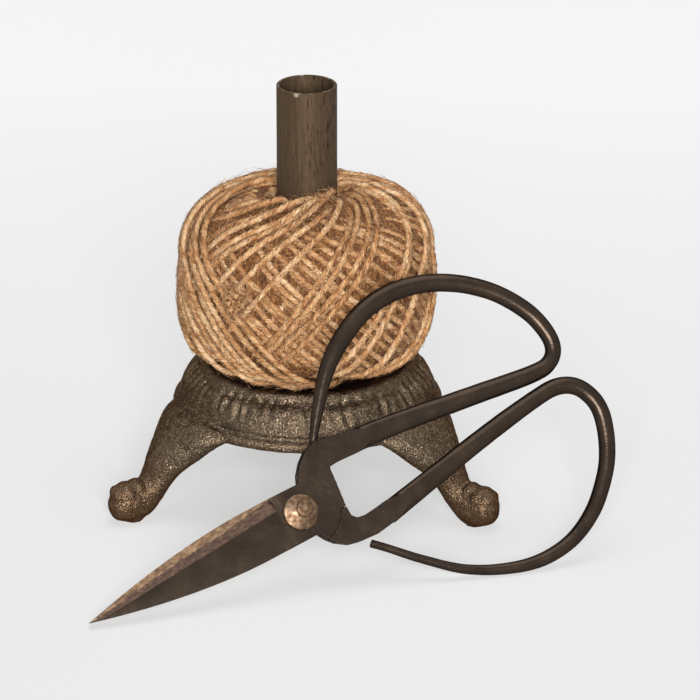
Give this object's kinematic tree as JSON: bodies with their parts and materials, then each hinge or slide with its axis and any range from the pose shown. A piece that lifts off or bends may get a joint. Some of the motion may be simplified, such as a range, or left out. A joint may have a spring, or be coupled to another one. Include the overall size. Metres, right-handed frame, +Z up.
{
  "type": "string holder",
  "caption": "Footed cast-iron dish with an upright open tube that a barrel-shaped ball of jute twine turns on, and forged loop-handled scissors leaning on the ball.",
  "frame": {"origin": "on the tube's axis at table level", "axes": "+Z up along the tube, -Y towards the scissors and the viewer, +X to the viewer's right"},
  "size_m": [0.1864, 0.2157, 0.158],
  "materials": {
    "cast_iron": "grainy sand casting, oiled, worn on the high spots",
    "tube_steel": "drawn tube, browned, with lengthwise scratches",
    "fixing_steel": "plain steel fastener",
    "jute": "twisted natural fibre with loose hairs",
    "forged_steel": "black forge scale with a ground bevel",
    "brass": "aged, hammered"
  },
  "bodies": {
    "stand": {"base_casting": "cast_iron", "spindle_tube": "tube_steel", "tube_plug": "fixing_steel", "fixing_bolt": "fixing_steel", "fixing_washer": "fixing_steel"},
    "ball": {"twine_core": "jute", "twine_winding": "jute"},
    "front_half": {"scissors_front": "forged_steel", "pivot_rivet": "brass", "front_rivet_washer": "brass", "rear_rivet_washer": "brass"},
    "rear_half": {"scissors_rear": "forged_steel"}
  },
  "joints": [
    {"name": "ball_turn", "type": "hinge", "parent": "stand", "child": "ball", "pos_m": [0, 0, 0.0818], "axis": [0, 0, 1], "continuous": true},
    {"name": "scissors_lift", "type": "slide", "parent": "stand", "child": "front_half", "axis": [0, 0, 1], "range_m": [0, 0.16]},
    {"name": "scissors_pivot", "type": "hinge", "parent": "front_half", "child": "rear_half", "pos_m": [0.0013, -0.09021, 0.02805], "axis": [-0.2805, 0.8193, -0.5], "range_deg": [0, 45]}
  ]
}
